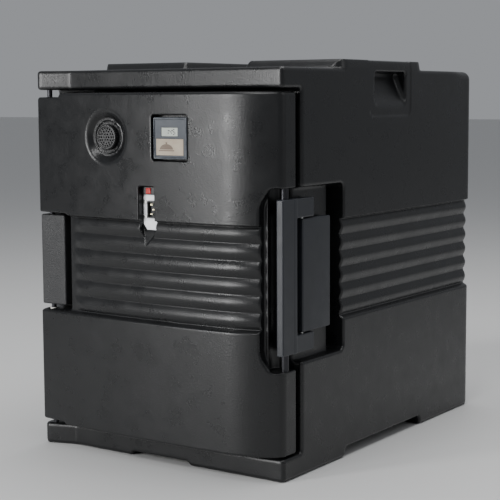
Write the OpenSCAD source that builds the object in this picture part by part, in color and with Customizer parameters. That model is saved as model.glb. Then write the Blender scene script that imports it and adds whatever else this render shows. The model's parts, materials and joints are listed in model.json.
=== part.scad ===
// Insulated front-loading food carrier with a heated door.
// Origin at the bottom centre of the overall box, +Z up, door faces -Y, hinge at -X, latch at +X.
// Millimetres.

/* [Cabinet] */
// Overall width
body_w = 460; // [450:1:470]
// Overall depth, from the crest of the door to the back
overall_d = 664; // [650:1:680]
// Height of the top deck
deck_h = 598; // [590:1:610]
// Height of the base flange
base_h = 34; // [30:1:38]
// Thickness of the top flange
flange_h = 30; // [26:1:32]
// Depth of the door opening behind the crest of the door
door_bay_d = 76; // [74:1:80]
// Setback of the flange front from the crest of the door
flange_setback = 24; // [22:1:26]
// Radius of the rear upright edges
rear_r = 25; // [20:1:30]
// Radius of the front upright edges
front_r = 6; // [4:1:8]
// Wall of the moulded skins
skin = 4; // [3:0.5:5]

/* [Food cavity] */
// Half width of the cavity
cavity_half_w = 164; // [155:1:164]
// Floor height of the cavity
cavity_floor = 62; // [58:1:66]
// Ceiling height of the cavity
cavity_ceiling = 536; // [520:1:536]
// Distance from the cavity's back wall to the outer back face
back_wall = 62; // [56:1:70]
// Number of pan rails on each side
rail_count = 6; // [4:1:6]

/* [Ribbed band] */
// Lower edge of the band
band_z = 222; // [221:1:222]
// Number of ribs
rib_count = 6; // [4:1:6]
// Spacing of the ribs
rib_pitch = 25; // [23:0.5:25]
// Depth of the valleys between ribs
band_depth = 8; // [7:0.5:9]
// Height of a rib above the valleys
rib_rise = 4.5; // [3.5:0.5:5]

/* [Door] */
// Radius of the broad bow of the door front
bow_r = 2480; // [2300:20:2700]
// X of the crest of the bow
bow_x = 125; // [110:1:130]
// Radius of the rounded latch end of the door
turn_r = 150; // [140:5:170]
// Clearance under the door
door_gap = 2; // [1.5:0.5:3]
// Thickness of the seal, squeezed
gasket_t = 11.5; // [11:0.1:11.7]

/* [Hinge] */
// X of the hinge pin
hinge_x = -212; // [-213:0.5:-211]
// Y of the hinge pin
hinge_y = -296; // [-297:0.5:-295]
// Radius of the hinge pin
hinge_pin_r = 4; // [3.5:0.5:4]
// Running clearance of every turning pin
running_gap = 0.05; // [0.03:0.01:0.08]

/* [Latch] */
// X of the latch rod
rod_x = 220; // [219:0.5:220]
// Y of the latch rod
rod_y = -288; // [-289:0.5:-288]
// Radius of the latch rod
rod_r = 6; // [5:0.5:6]
// Distance of the lever pins behind the rod
lever_pin_back = 41; // [40:0.5:42]
// Length of the lever plate along Y
lever_d = 79; // [76:1:80]

/* [Vent, thermometer and inlet] */
// X of the vent centre
vent_x = -81; // [-85:1:-75]
// Z of the vent centre
vent_z = 496; // [492:1:498]
// Radius of the vent dish at the door front
vent_dish_r = 42.5; // [40:0.5:44]
// X of the thermometer centre
meter_x = 48; // [46:1:50]
// Z of the thermometer centre
meter_z = 496; // [494:1:497]
// Width and height of the thermometer panel
meter_size = 64; // [60:1:64]
// X of the inlet pocket centre
inlet_x = 2; // [0:1:4]
// Z of the inlet pocket centre
inlet_z = 390.5; // [390:0.5:391]

/* [Hidden] */
$fn = 64;

// Chords that stand for the very large arc of the door, and for its latch end
bow_chords = 14;
turn_chords = 8;
// Fineness of the ribs that follow the large arc
bow_fn = 1440;
// Overshoot of cutting tools past the face they cut
cut = 1;

half_w = body_w / 2;
back_y = overall_d / 2;
crest_y = -overall_d / 2;
flange_y = crest_y + flange_setback;
front_y = crest_y + door_bay_d;
flange_z = deck_h - flange_h;

// Front of the flanges: it leans back from the hinge end to a crease, then slopes out again
lean_start = 8;
lean_run = 50;
lean_d = 15;

// Raised top plateau: a handle bar over each side pocket, with a channel between them
plateau_y0 = -150;
plateau_y1 = 138;
plateau_h = 14;
plateau_slope = 13;
plateau_inset = 2;
plateau_corner_r = 28;
channel_half_w = 58;
channel_floor = 2;

// Handle pockets
handle_y0 = -34;
handle_y1 = 70;
handle_z0 = 527;
handle_z1 = 594;
handle_knee_z = 546;
handle_lip = 5;
handle_depth = 50;

// Feet notches
side_notch_y = 128;
side_notch_h = 15;
side_notch_d = 40;
front_notch_x = 56;
front_notch_h = 7;

// Ribbed band on the cabinet starts behind the latch recess
band_front_y = -137;
band_top = band_z + rib_count * rib_pitch;
rib_r = (pow(rib_pitch / 2, 2) + pow(rib_rise, 2)) / (2 * rib_rise);
// The ribs stand on a floor a little deeper than the valleys between them
rib_root = 1;
band_floor = band_depth + rib_root;

// Latch recess in the cabinet side
recess_z0 = 170;
recess_z1 = 426;
recess_y1 = -133;
land_y1 = -159;
land_x = half_w - 17;
pocket_x = half_w - 35;

// Cavity and liner
liner_t = 3;
liner_half_w = cavity_half_w + liner_t;
cavity_back_y = back_y - back_wall;
rail_w = 12;
rail_h = 10;
rail_y0 = -222;
rail_y1 = 255;
rail_z0 = 110;
rail_pitch = (cavity_ceiling - rail_z0) / rail_count;
foam_inset = 12;

// Foam-fill plugs in the back face
plug_r = 12;
plug_z = 470;
plug_spacing = 120;

// Door outline
door_x0 = -half_w;
door_x1 = half_w - 2;
door_z0 = base_h + door_gap;
door_z1 = flange_z - 5;
door_back_y = front_y - 12;
ear_x = -180;
ear_drop = 6;
ear_rise = 4;
bow_centre_y = crest_y + bow_r;
turn_x = bow_x + 17;
turn_angle = asin((turn_x - bow_x) / bow_r);
turn_centre_x = turn_x - turn_r * sin(turn_angle);
turn_centre_y = bow_centre_y - (bow_r - turn_r) * cos(turn_angle);

// Hinge notch in the door, and the block that stands in it
notch_x = -166;
notch_skin_x = -172;
notch_skin_t = 8;
notch_z1 = band_top + 3;
block_x0 = -228;
block_x1 = -179;
block_y0 = -305;
block_z0 = band_z + 6;
block_z1 = notch_z1 - 3;
block_neck_x = -192;
block_neck_y = -278;
block_edge_r = 3;
stud_r = 3;
stud_x = -214;
stud_y0 = -286;
stud_z = [258, 337];
pin_z0 = base_h - 10;
pin_z1 = flange_z + 8;
bush_r = 6;
bush_len = 25;
bush_z = [door_z0 + ear_rise, band_z - bush_len, notch_z1, door_z1 - ear_drop - bush_len];

// Latch notch in the door, and the latch
latch_z0 = 161;
latch_z1 = recess_z1;
latch_notch_x = 197;
latch_chamfer = 14;
latch_chamfer_h = 24;
latch_floor_y = -306;
rod_z0 = latch_z0 - 22;
rod_z1 = latch_z1 + 20;
well_r = 23.5;
frame_x0 = 213;
frame_x1 = half_w;
frame_y0 = rod_y - 20;
frame_y1 = rod_y + 19;
frame_bevel_x = 6;
frame_bevel_y = 13;
frame_z0 = 185;
frame_z1 = 410;
arm_x0 = 216;
arm_y1 = rod_y + 66;
arm_low_h = 26;
arm_high_h = 28;
lever_x0 = 217;
lever_x1 = 229.5;
lever_pin_x = 223.5;
lever_pin_y = rod_y + lever_pin_back;
lever_y0 = lever_pin_y - 4.5;
lever_z0 = frame_z0 + arm_low_h + 2;
lever_z1 = frame_z1 - arm_high_h - 2;
lever_pin_r = 2.5;
lever_pin_grip = 15;

// Strike plate on the land of the cabinet
strike_t = 1.5;
strike_z0 = 225;
strike_z1 = 368;
strike_y0 = -248;

// Door liner plug
plug_half_w = 155;
plug_z0 = 72;
plug_z1 = 526;
plug_d = 24;
gasket_in = liner_half_w;
gasket_w = 5;
gasket_z0 = cavity_floor - liner_t;
gasket_z1 = cavity_ceiling + liner_t;
core_x0 = -145;
core_x1 = 185;
core_z0 = door_z0 + 12;
core_z1 = door_z1 - 12;
plug_y1 = door_back_y + plug_d;

// Vent
function bow_y(x) = bow_centre_y - sqrt(pow(bow_r, 2) - pow(x - bow_x, 2));
vent_front_y = bow_y(vent_x);
vent_floor_y = vent_front_y + 12;
vent_floor_r = 28;
cap_r = 19.5;
cap_t = 8;
cap_y0 = vent_floor_y - cap_t;
cap_gap = 0.5;
cap_face_t = 2.5;
cap_wall = 3;
cap_stem_r = 6;
cap_stem_len = 14;
sleeve_r = 10;
seal_r = 13;
seal_wire_r = 1.5;
cap_hole_r = 1.2;

// Thermometer
meter_half = meter_size / 2;
meter_front_y = bow_y(meter_x) + 1.5;
meter_floor_y = meter_front_y + 17;
meter_gap = 1.5;
meter_face_t = 2;
meter_wall = 2.5;
lcd_x0 = -16;
lcd_x1 = 13;
lcd_z0 = 3;
lcd_z1 = 15.5;
label_x0 = -25.5;
label_x1 = 23.7;
label_z0 = -25;
label_z1 = -1;
battery_r = 10;
battery_t = 3.2;
probe_r = 2;
probe_z = meter_z - 10;
probe_tip = 14;

// Power inlet
pocket_half_w = 15;
pocket_half_h = 33.5;
pocket_floor_y = crest_y + 17;
ramp_tip_z = 338;
ramp_tip_x = -1;
plate_t = 1.5;
inlet_body_x0 = -3;
inlet_body_x1 = 15;
inlet_body_z0 = 376;
inlet_body_z1 = 402;
inlet_body_y0 = pocket_floor_y - 5;
inlet_body_y1 = pocket_floor_y + 27;
inlet_wall = 2;
inlet_socket_d = 17;
inlet_pin_w = 4;
inlet_pin_t = 2;
inlet_pin_pitch = 7;
lamp_x = 0;
lamp_z = 417;
lamp_r = 4;
lamp_len = 16;
inlet_screw_r = 1.5;
inlet_screw_x = -8;
inlet_screw_z = [378, 400];

// Heater on the door plug
heater_half_w = 120;
heater_z0 = 170;
heater_z1 = 430;
heater_d = 20;
heater_wall = 2;
slot_count = 9;
slot_pitch = 24;
slot_w = 8;
slot_half_h = 95;
heater_plate_t = 2;
element_r = 3.2;
element_pitch = 36;
element_legs = 6;
element_z0 = 215;
element_z1 = 385;
cover_screw_x = [-112, 112];
cover_screw_z = [180, 300, 420];
cover_screw_r = 2;
cover_head_r = 4;
cover_head_t = 2.5;

// Control space in the door plug
control_x0 = -20;
control_x1 = 110;
control_z0 = 320;
control_z1 = 440;
box_x0 = 40;
box_z0 = 372;
box_w = 46;
box_h = 34;
box_d = 16;
thermostat_x = 20;
thermostat_z = 345;
thermostat_r = 9;
wire_r = 1.6;

// ---------- shared shapes ----------

// Plan outline with front and rear corner radii
module plan(x0, y0, x1, y1, r0, r1) {
    polygon([[x0 + r0, y0], [x1 - r0, y0], [x1, y0 + r0], [x1, y1 - r1],
             [x1 - r1, y1], [x0 + r1, y1], [x0, y1 - r1], [x0, y0 + r0]]);
    for (x = [x0 + r0, x1 - r0]) translate([x, y0 + r0]) circle(r0);
    for (x = [x0 + r1, x1 - r1]) translate([x, y1 - r1]) circle(r1);
}

// Box between two corners
module block(a, b) {
    translate(a) cube(b - a);
}

// Cylinder along Y that starts at y0
module rod_y(x, y0, z, r, len) {
    translate([x, y0, z]) rotate([-90, 0, 0]) cylinder(h = len, r = r);
}

// Cylinder along Z that starts at z0
module rod_z(x, y, z0, r, len) {
    translate([x, y, z0]) cylinder(h = len, r = r);
}

// Rib section: x points out of the wall from the band floor, y is height
module rib_section() {
    for (i = [0 : rib_count - 1])
        intersection() {
            translate([rib_root + rib_rise - rib_r, band_z + (i + 0.5) * rib_pitch]) circle(rib_r);
            translate([-cut, band_z + i * rib_pitch]) square([rib_root + rib_rise + 2 * cut, rib_pitch]);
        }
}

// Straight run of ribs along +Y, facing +X
module rib_run(len) {
    rotate([90, 0, 0]) mirror([0, 0, 1]) linear_extrude(len) rib_section();
}

// Ribs around an upright arc of band floor radius r, from one angle to another
module rib_turn(r, from_angle, to_angle) {
    rotate([0, 0, from_angle])
        rotate_extrude(angle = to_angle - from_angle) translate([r, 0]) rib_section();
}

// Points on an upright arc that faces -Y, between two X positions
function arc_points(centre_x, centre_y, r, from_x, to_x, count) = [
    let (t0 = asin((from_x - centre_x) / r), t1 = asin((to_x - centre_x) / r))
    for (i = [0 : count]) let (t = t0 + (t1 - t0) * i / count)
        [centre_x + r * sin(t), centre_y - r * cos(t)]
];

// Door outline in plan, shrunk by an inset: broad bow, then the rounded latch end
module door_plan(inset) {
    x0 = door_x0 + inset;
    x1 = door_x1 - inset;
    y1 = door_back_y - inset;
    join_x = turn_centre_x + (turn_r - inset) * sin(turn_angle);
    polygon(concat(
        [[x1, y1], [x0, y1]],
        arc_points(bow_x, bow_centre_y, bow_r - inset, x0, join_x, bow_chords),
        arc_points(turn_centre_x, turn_centre_y, turn_r - inset, join_x + 1, x1, turn_chords)));
}

// ---------- cabinet ----------

module flange_plan() {
    difference() {
        plan(-half_w, flange_y, half_w, back_y, front_r, rear_r);
        polygon([[-half_w + lean_start, flange_y - cut],
                 [-half_w + lean_start + lean_run, flange_y + lean_d],
                 [half_w - front_r, flange_y], [half_w - front_r, flange_y - cut]]);
    }
}

module plateau() {
    module bar_profile() {
        polygon([[plateau_y0, 0], [plateau_y0 + plateau_slope, plateau_h],
                 [plateau_y1 - plateau_slope, plateau_h], [plateau_y1, 0]]);
    }
    bar_w = half_w - plateau_inset - channel_half_w;
    intersection() {
        translate([0, 0, deck_h]) linear_extrude(plateau_h)
            plan(-half_w + plateau_inset, plateau_y0, half_w - plateau_inset, plateau_y1,
                 plateau_corner_r, plateau_corner_r);
        for (side = [-1, 1])
            translate([side > 0 ? channel_half_w : -channel_half_w - bar_w, 0, deck_h])
                rotate([90, 0, 90]) linear_extrude(bar_w) bar_profile();
    }
    block([-channel_half_w, plateau_y0 + plateau_slope, deck_h],
          [channel_half_w, plateau_y1 - plateau_slope, deck_h + channel_floor]);
}

module band_cut() {
    inner_back = back_y - band_floor;
    difference() {
        block([-half_w - cut, band_front_y, band_z], [half_w + cut, back_y + cut, band_top]);
        translate([0, 0, band_z - cut]) linear_extrude(band_top - band_z + 2 * cut)
            plan(-half_w + band_floor, front_y, half_w - band_floor, inner_back,
                 front_r, rear_r - band_floor);
    }
}

module band_ribs() {
    straight = back_y - rear_r - band_front_y;
    turn_x0 = half_w - rear_r;
    for (side = [0, 1]) mirror([side, 0, 0]) {
        translate([half_w - band_floor, band_front_y, 0]) rib_run(straight);
        translate([turn_x0, back_y - rear_r, 0]) rib_turn(rear_r - band_floor, 0, 90);
    }
    translate([turn_x0, back_y - band_floor, 0]) rotate([0, 0, 90]) rib_run(2 * turn_x0);
}

module latch_recess() {
    block([land_x, front_y - cut, recess_z0], [half_w + cut, recess_y1, recess_z1]);
    block([pocket_x, land_y1, recess_z0], [half_w + cut, recess_y1, recess_z1]);
}

module handle_pocket() {
    translate([0, handle_y1, 0]) rotate([90, 0, 0]) linear_extrude(handle_y1 - handle_y0)
        polygon([[half_w + cut, handle_z0], [half_w, handle_z0],
                 [half_w - handle_lip, handle_knee_z], [half_w - handle_depth, handle_z1],
                 [half_w + cut, handle_z1]]);
}

module feet_notches() {
    for (side = [0, 1]) mirror([side, 0, 0])
        block([half_w - side_notch_d, -side_notch_y, -cut],
              [half_w + cut, side_notch_y, side_notch_h]);
    block([-front_notch_x, flange_y - cut, -cut],
          [front_notch_x, flange_y + side_notch_d, front_notch_h]);
}

module cabinet_foam_space() {
    difference() {
        translate([0, 0, base_h - foam_inset]) linear_extrude(deck_h - base_h)
            plan(-half_w + foam_inset, front_y + skin, half_w - foam_inset, back_y - foam_inset,
                 front_r, rear_r - foam_inset);
        for (side = [0, 1]) mirror([side, 0, 0])
            block([half_w - handle_depth - skin, handle_y0 - skin, handle_z0 - skin],
                  [half_w, handle_y1 + skin, deck_h]);
        block([pocket_x - skin, front_y, recess_z0 - skin],
              [half_w, recess_y1 + skin, recess_z1 + skin]);
    }
}

module cavity_form(grow) {
    block([-cavity_half_w - grow, front_y - cut, cavity_floor - grow],
          [cavity_half_w + grow, cavity_back_y + grow, cavity_ceiling + grow]);
}

module cabinet_shell() {
    color([0.075, 0.08, 0.085]) difference() {
        union() {
            linear_extrude(base_h) flange_plan();
            translate([0, 0, base_h]) linear_extrude(flange_z - base_h)
                plan(-half_w, front_y, half_w, back_y, front_r, rear_r);
            translate([0, 0, flange_z]) linear_extrude(flange_h) flange_plan();
            plateau();
        }
        difference() {
            band_cut();
            band_ribs();
        }
        latch_recess();
        for (side = [0, 1]) mirror([side, 0, 0]) handle_pocket();
        feet_notches();
        cabinet_foam_space();
        cavity_form(liner_t);
        rod_z(hinge_x, hinge_y, pin_z0, hinge_pin_r, pin_z1 - pin_z0);
        for (z = stud_z)
            rod_y(stud_x, front_y - cut, z, stud_r, skin + foam_inset);
        for (i = [-1 : 1])
            rod_y(i * plug_spacing, back_y - foam_inset - cut, plug_z, plug_r, foam_inset + 2 * cut);
    }
}

module cabinet_foam() {
    color([0.86, 0.78, 0.55]) difference() {
        cabinet_foam_space();
        cavity_form(liner_t);
        for (z = stud_z)
            rod_y(stud_x, front_y - cut, z, stud_r, skin + foam_inset);
    }
}

module cabinet_liner() {
    color([0.12, 0.125, 0.13]) {
        difference() {
            intersection() {
                cavity_form(liner_t);
                block([-half_w, front_y, 0], [half_w, back_y, deck_h]);
            }
            cavity_form(0);
        }
        for (side = [0, 1], i = [0 : rail_count - 1]) mirror([side, 0, 0])
            block([cavity_half_w - rail_w, rail_y0, rail_z0 + i * rail_pitch],
                  [cavity_half_w, rail_y1, rail_z0 + i * rail_pitch + rail_h]);
    }
}

module foam_plugs() {
    color([0.06, 0.06, 0.065]) for (i = [-1 : 1])
        rod_y(i * plug_spacing, back_y - foam_inset, plug_z, plug_r, foam_inset);
}

module hinge_block() {
    color([0.23, 0.24, 0.25]) difference() {
        translate([0, 0, block_z0]) linear_extrude(block_z1 - block_z0) union() {
            plan(block_x0, block_y0, block_x1, block_neck_y, block_edge_r, 2);
            translate([block_x0, block_neck_y - 2])
                square([block_neck_x - block_x0, front_y - block_neck_y + 2]);
        }
        rod_z(hinge_x, hinge_y, block_z0 - cut, hinge_pin_r, block_z1 - block_z0 + 2 * cut);
        for (z = stud_z) rod_y(stud_x, stud_y0, z, stud_r, front_y - stud_y0 + cut);
    }
}

// Studs set into the cabinet wall, which the block is pressed onto
module hinge_block_studs() {
    color("silver") for (z = stud_z)
        rod_y(stud_x, stud_y0, z, stud_r, front_y + skin + foam_inset - cut - stud_y0);
}

module hinge_pin() {
    color("silver") rod_z(hinge_x, hinge_y, pin_z0, hinge_pin_r, pin_z1 - pin_z0);
}

module latch_strike() {
    color([0.3, 0.31, 0.32])
        block([land_x, strike_y0, strike_z0], [land_x + strike_t, land_y1 - 1, strike_z1]);
}

// ---------- door ----------

// Forms cut out of the door front, each a little past the surface
module door_front_cuts() {
    // Ribbed band, between the hinge notch and the latch notch
    difference() {
        intersection() {
            block([notch_x, crest_y - cut, band_z], [latch_notch_x, door_back_y, band_top]);
            translate([0, 0, band_z - cut]) linear_extrude(band_top - band_z + 2 * cut)
                difference() {
                    door_plan(-cut);
                    door_plan(band_floor);
                }
        }
        door_band_ribs();
    }
    // Vent dish
    translate([vent_x, vent_front_y - cut, vent_z]) rotate([-90, 0, 0])
        rotate_extrude() polygon([[0, 0], [vent_dish_r, 0], [vent_dish_r, cut + 3],
            [vent_floor_r, vent_floor_y - vent_front_y + cut],
            [0, vent_floor_y - vent_front_y + cut]]);
    // Thermometer pocket
    block([meter_x - meter_half, crest_y - cut, meter_z - meter_half],
          [meter_x + meter_half, meter_floor_y, meter_z + meter_half]);
    // Inlet pocket, and the ramp that runs down from it to a point
    block([inlet_x - pocket_half_w, crest_y - cut, inlet_z - pocket_half_h],
          [inlet_x + pocket_half_w, pocket_floor_y, inlet_z + pocket_half_h]);
    inlet_ramp();
    // Latch notch: shallow floor at the front, round well about the rod
    latch_notch();
}

module door_band_ribs() {
    from_bow = asin((notch_x - bow_x) / (bow_r - band_floor)) - 90;
    to_bow = turn_angle - 90;
    translate([bow_x, bow_centre_y, 0])
        rib_turn(bow_r - band_floor, from_bow, to_bow, $fn = bow_fn);
    translate([turn_centre_x, turn_centre_y, 0])
        rib_turn(turn_r - band_floor, to_bow, to_bow + 30, $fn = bow_fn / 4);
}

module inlet_ramp() {
    floor_d = pocket_floor_y - crest_y;
    drop = inlet_z - pocket_half_h - ramp_tip_z;
    intersection() {
        translate([0, crest_y + floor_d, 0]) rotate([90, 0, 0]) linear_extrude(floor_d + cut)
            polygon([[inlet_x - pocket_half_w, inlet_z - pocket_half_h + cut],
                     [inlet_x + pocket_half_w, inlet_z - pocket_half_h + cut],
                     [ramp_tip_x + 3, ramp_tip_z], [ramp_tip_x - 3, ramp_tip_z]]);
        translate([inlet_x - pocket_half_w, crest_y - cut, ramp_tip_z]) rotate([90, 0, 90])
            linear_extrude(2 * pocket_half_w)
                polygon([[0, 0], [band_depth + cut, 0], [floor_d + cut, drop], [floor_d + cut, drop + cut],
                         [0, drop + cut]]);
    }
}

module latch_notch() {
    translate([0, latch_floor_y, 0]) rotate([90, 0, 0]) linear_extrude(-latch_floor_y)
        polygon([[latch_notch_x + latch_chamfer, latch_z0], [half_w + cut, latch_z0],
                 [half_w + cut, latch_z1], [latch_notch_x + latch_chamfer, latch_z1],
                 [latch_notch_x, latch_z1 - latch_chamfer_h],
                 [latch_notch_x, latch_z0 + latch_chamfer_h]]);
    well_h = latch_z1 - latch_z0;
    rod_z(rod_x, rod_y, latch_z0, well_r, well_h);
    block([rod_x - well_r + 5, rod_y, latch_z0], [half_w + cut, door_back_y + cut, latch_z1]);
    block([rod_x, crest_y - cut, latch_z0], [half_w + cut, door_back_y + cut, latch_z1]);
}

module hinge_notch() {
    block([door_x0 - cut, crest_y - cut, band_z],
          [notch_x, door_back_y - notch_skin_t, notch_z1]);
    block([door_x0 - cut, crest_y - cut, band_z], [notch_skin_x, door_back_y + cut, notch_z1]);
}

// Space inside the door skins
module door_core() {
    difference() {
        intersection() {
            translate([0, 0, core_z0]) linear_extrude(core_z1 - core_z0) door_plan(foam_inset);
            block([core_x0, crest_y, core_z0], [core_x1, door_back_y - skin, core_z1]);
        }
        rod_y(vent_x, crest_y, vent_z, vent_dish_r + skin, overall_d);
        block([meter_x - meter_half - skin, crest_y, meter_z - meter_half - skin],
              [meter_x + meter_half + skin, meter_floor_y + skin, meter_z + meter_half + skin]);
        block([inlet_x - pocket_half_w - skin, crest_y, ramp_tip_z - skin],
              [inlet_x + pocket_half_w + skin, pocket_floor_y + skin,
               inlet_z + pocket_half_h + skin]);
    }
}

// Window between the door core and the liner plug
module core_window(y0, y1) {
    block([-plug_half_w + 15, y0, plug_z0 + 15], [plug_half_w - 15, y1, plug_z1 - 15]);
}

module door_shell() {
    color([0.075, 0.08, 0.085]) difference() {
        translate([0, 0, door_z0]) linear_extrude(door_z1 - door_z0) door_plan(0);
        block([door_x0 - cut, crest_y - cut, door_z1 - ear_drop],
              [ear_x, door_back_y + cut, door_z1 + cut]);
        block([door_x0 - cut, crest_y - cut, door_z0 - cut],
              [ear_x, door_back_y + cut, door_z0 + ear_rise]);
        door_front_cuts();
        hinge_notch();
        difference() {
            union() {
                door_core();
                core_window(door_back_y - 2 * skin, door_back_y + cut);
            }
            rod_y(vent_x, crest_y, vent_z, vent_dish_r + skin, overall_d);
        }
        rod_y(vent_x, crest_y, vent_z, sleeve_r, overall_d);
        rod_y(meter_x, crest_y, probe_z, probe_r, overall_d / 2);
        rod_z(hinge_x, hinge_y, door_z0 - cut, bush_r, door_z1 - door_z0);
        rod_z(rod_x, rod_y, rod_z0, rod_r, rod_z1 - rod_z0);
        block([inlet_body_x0, inlet_body_y0, inlet_body_z0],
              [inlet_body_x1, door_back_y, inlet_body_z1]);
        rod_y(lamp_x, pocket_floor_y, lamp_z, lamp_r, lamp_len);
        for (z = inlet_screw_z)
            rod_y(inlet_screw_x, pocket_floor_y - cut, z, inlet_screw_r, skin + cut + cut);
    }
}

module door_foam() {
    color([0.86, 0.78, 0.55]) difference() {
        union() {
            door_core();
            difference() {
                core_window(door_back_y - 2 * skin, plug_y1 - liner_t);
                rod_y(vent_x, crest_y, vent_z, vent_dish_r + skin, overall_d);
            }
        }
        block([control_x0, pocket_floor_y, control_z0], [control_x1, plug_y1, control_z1]);
        rod_y(meter_x, crest_y, probe_z, probe_r, overall_d / 2);
    }
}

module door_liner() {
    color([0.12, 0.125, 0.13]) difference() {
        block([-plug_half_w, door_back_y, plug_z0], [plug_half_w, plug_y1, plug_z1]);
        core_window(door_back_y - cut, plug_y1 - liner_t);
        rod_y(vent_x, crest_y, vent_z, sleeve_r, overall_d);
        rod_y(meter_x, crest_y, probe_z, probe_r, overall_d);
        for (x = cover_screw_x, z = cover_screw_z)
            rod_y(x, plug_y1 - liner_t - cut, z, cover_screw_r, liner_t + 2 * cut);
    }
}

module door_gasket() {
    color([0.03, 0.03, 0.03]) difference() {
        block([-gasket_in - gasket_w, door_back_y, gasket_z0 - gasket_w],
              [gasket_in + gasket_w, door_back_y + gasket_t, gasket_z1 + gasket_w]);
        block([-gasket_in, door_back_y - cut, gasket_z0],
              [gasket_in, front_y + cut, gasket_z1]);
    }
}

module hinge_bushes() {
    color([0.8, 0.8, 0.76]) for (z = bush_z) difference() {
        rod_z(hinge_x, hinge_y, z, bush_r, bush_len);
        rod_z(hinge_x, hinge_y, z - cut, hinge_pin_r + running_gap, bush_len + 2 * cut);
    }
}

// ---------- vent ----------

module vent_sleeve() {
    color([0.09, 0.09, 0.1]) difference() {
        rod_y(vent_x, vent_floor_y, vent_z, sleeve_r, plug_y1 - vent_floor_y + 2);
        rod_y(vent_x, vent_floor_y - cut, vent_z, cap_stem_r + running_gap, overall_d);
    }
}

module vent_seal() {
    color([0.02, 0.02, 0.02]) translate([vent_x, vent_floor_y - 3 * cap_gap, vent_z])
        rotate([-90, 0, 0]) difference() {
            cylinder(h = 3 * cap_gap, r = seal_r + seal_wire_r);
            translate([0, 0, -cut]) cylinder(h = cut + 4 * cap_gap, r = seal_r - seal_wire_r);
        }
}

module vent_cap() {
    // Rings of air holes: count and radius of each
    rings = [[6, 5], [12, 10]];
    color([0.05, 0.05, 0.055]) translate([vent_x, cap_y0, vent_z]) rotate([-90, 0, 0]) {
        difference() {
            cylinder(h = cap_t - 4 * cap_gap, r = cap_r);
            translate([0, 0, cap_face_t]) difference() {
                cylinder(h = cap_t, r = cap_r - cap_wall);
                cylinder(h = cap_t, r = cap_stem_r);
            }
            translate([0, 0, -cut]) cylinder(h = cut + 1, r = cap_r - cap_wall);
            for (ring = rings, i = [0 : ring[0] - 1])
                rotate([0, 0, i * 360 / ring[0]]) translate([ring[1], 0, -cut])
                    cylinder(h = cap_face_t + 2 * cut, r = cap_hole_r);
        }
        difference() {
            translate([0, 0, cap_face_t]) cylinder(h = cap_t + cap_stem_len, r = cap_stem_r);
            translate([0, 0, cap_t]) cylinder(h = 2 * cap_stem_len, r = cap_stem_r - 2);
        }
    }
}

// ---------- thermometer ----------

module meter_block(x0, x1, z0, z1, y0, y1) {
    block([meter_x + x0, y0, meter_z + z0], [meter_x + x1, y1, meter_z + z1]);
}

module thermometer_housing() {
    s = meter_half - meter_gap;
    inner = s - meter_wall;
    color([0.11, 0.12, 0.135]) difference() {
        meter_block(-s, s, -s, s, meter_front_y, meter_floor_y);
        meter_block(-inner, inner, -inner, inner, meter_front_y - cut, meter_floor_y - meter_wall);
        rod_y(meter_x, meter_front_y, probe_z, probe_r, overall_d / 2);
    }
}

module thermometer_face() {
    s = meter_half - meter_gap - meter_wall;
    color([0.16, 0.175, 0.2]) difference() {
        meter_block(-s, s, -s, s, meter_front_y + 1, meter_front_y + 1 + meter_face_t);
        meter_block(lcd_x0, lcd_x1, lcd_z0, lcd_z1, meter_front_y, meter_floor_y);
        meter_block(label_x0, label_x1, label_z0, label_z1, meter_front_y, meter_front_y + 1.4);
    }
}

module thermometer_lcd() {
    color([0.55, 0.6, 0.55])
        meter_block(lcd_x0, lcd_x1, lcd_z0, lcd_z1, meter_front_y + 1.6, meter_front_y + 4);
}

module thermometer_label() {
    color([0.55, 0.49, 0.4]) meter_block(label_x0, label_x1, label_z0, label_z1,
                                          meter_front_y + 1, meter_front_y + 1.4);
}

module thermometer_battery() {
    color("silver") rod_y(meter_x - 14, meter_floor_y - meter_wall - battery_t, meter_z - 8,
                          battery_r, battery_t);
}

module thermometer_probe() {
    color("silver") rod_y(meter_x, meter_floor_y - meter_wall - 2, probe_z, probe_r,
                          plug_y1 + probe_tip - meter_floor_y + meter_wall + 2);
}

// ---------- power inlet ----------

module inlet_plate() {
    color([0.8, 0.8, 0.79]) difference() {
        block([inlet_x - pocket_half_w + 1, pocket_floor_y - plate_t, inlet_z - pocket_half_h + 1],
              [inlet_x + pocket_half_w - 1, pocket_floor_y, inlet_z + pocket_half_h - 1]);
        block([inlet_body_x0, crest_y, inlet_body_z0], [inlet_body_x1, door_back_y, inlet_body_z1]);
        rod_y(lamp_x, crest_y, lamp_z, lamp_r, overall_d);
        for (z = inlet_screw_z) rod_y(inlet_screw_x, crest_y, z, inlet_screw_r, overall_d / 2);
    }
}

module power_inlet() {
    color([0.04, 0.04, 0.045]) difference() {
        block([inlet_body_x0, inlet_body_y0, inlet_body_z0],
              [inlet_body_x1, inlet_body_y1, inlet_body_z1]);
        block([inlet_body_x0 + inlet_wall, inlet_body_y0 - cut, inlet_body_z0 + inlet_wall],
              [inlet_body_x1 - inlet_wall, inlet_body_y0 + inlet_socket_d,
               inlet_body_z1 - inlet_wall]);
    }
}

module inlet_pins() {
    mid_x = (inlet_body_x0 + inlet_body_x1) / 2;
    mid_z = (inlet_body_z0 + inlet_body_z1) / 2;
    color("gold") for (i = [-1 : 1])
        block([mid_x - inlet_pin_w / 2 + (i == 0 ? 2 : -2), inlet_body_y0 + 2,
               mid_z + i * inlet_pin_pitch - inlet_pin_t / 2],
              [mid_x + inlet_pin_w / 2 + (i == 0 ? 2 : -2), inlet_body_y0 + inlet_socket_d,
               mid_z + i * inlet_pin_pitch + inlet_pin_t / 2]);
}

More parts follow.
